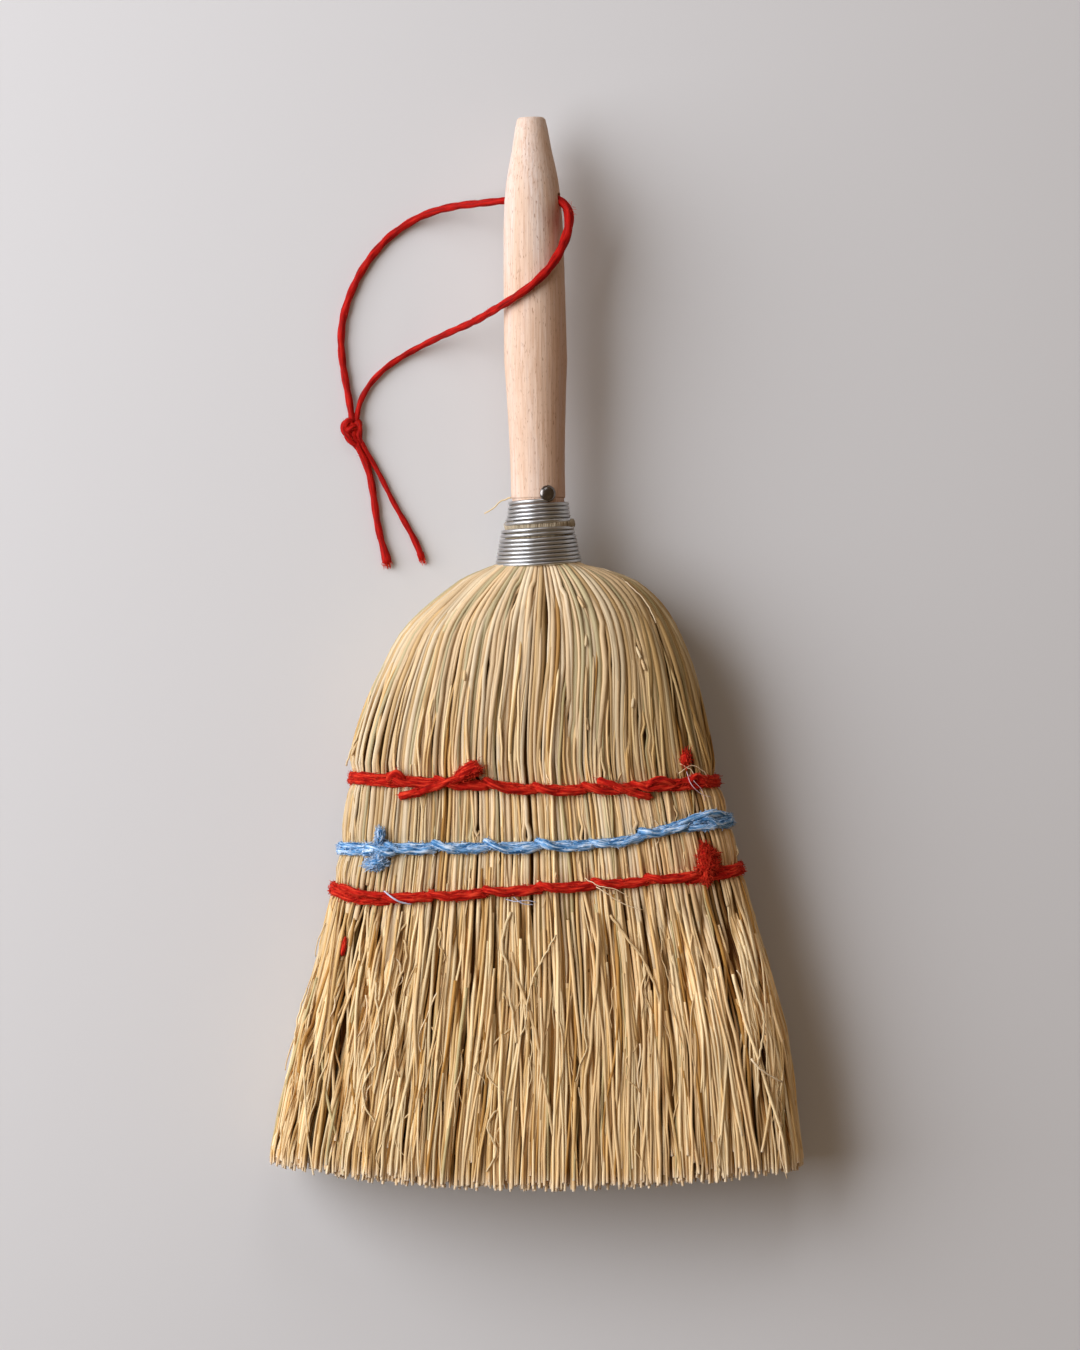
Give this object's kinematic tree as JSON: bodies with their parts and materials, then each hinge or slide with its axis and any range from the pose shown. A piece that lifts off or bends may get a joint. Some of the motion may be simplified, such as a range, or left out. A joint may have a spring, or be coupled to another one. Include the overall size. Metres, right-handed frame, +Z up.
{
  "type": "straw hand brush",
  "caption": "Hand brush with a turned wooden handle, wire-bound straw sewn flat in coloured rows, flared free ends and a cord loop.",
  "frame": {"origin": "under the middle of the brush's length and width, on the surface it lies on", "axes": "+X the brush's right seen from the front, +Y along it towards the handle's end, +Z up, out of its front"},
  "size_m": [0.1713, 0.35, 0.0405],
  "materials": {
    "raw_beech": "turned and sanded raw beech, no varnish",
    "dark_steel": "dark domed nail head",
    "steel_wire": "bright drawn wire",
    "straw": "dry broom corn, pale yellow to tan with green and orange stalks",
    "red_twine": "twisted twine",
    "blue_twine": "twisted twine",
    "red_cord": "two-ply twisted cord"
  },
  "bodies": {
    "brush": {"handle": "raw_beech", "binding_nail": "dark_steel", "binding_wire": "steel_wire", "front_hank_1": "straw", "front_hank_2": "straw", "front_hank_3": "straw", "front_hank_4": "straw", "front_hank_5": "straw", "front_hank_6": "straw", "back_hank_1": "straw", "back_hank_2": "straw", "back_hank_3": "straw", "back_hank_4": "straw", "back_hank_5": "straw", "back_hank_6": "straw", "left_side_hank": "straw", "right_side_hank": "straw", "upper_row_band": "red_twine", "upper_row_stitching": "red_twine", "middle_row_band": "blue_twine", "middle_row_stitching": "blue_twine", "lower_row_band": "red_twine", "lower_row_stitching": "red_twine"},
    "hanging_loop": {"hanging_cord": "red_cord", "cord_knot": "red_cord", "cord_tail_left": "red_cord", "cord_tail_right": "red_cord"}
  },
  "joints": [
    {"name": "loop_swing", "type": "hinge", "parent": "brush", "child": "hanging_loop", "pos_m": [-0.0008, 0.14818, 0.02], "axis": [-0.9658, -0.0182, -0.2588], "range_deg": [0, 140]}
  ]
}
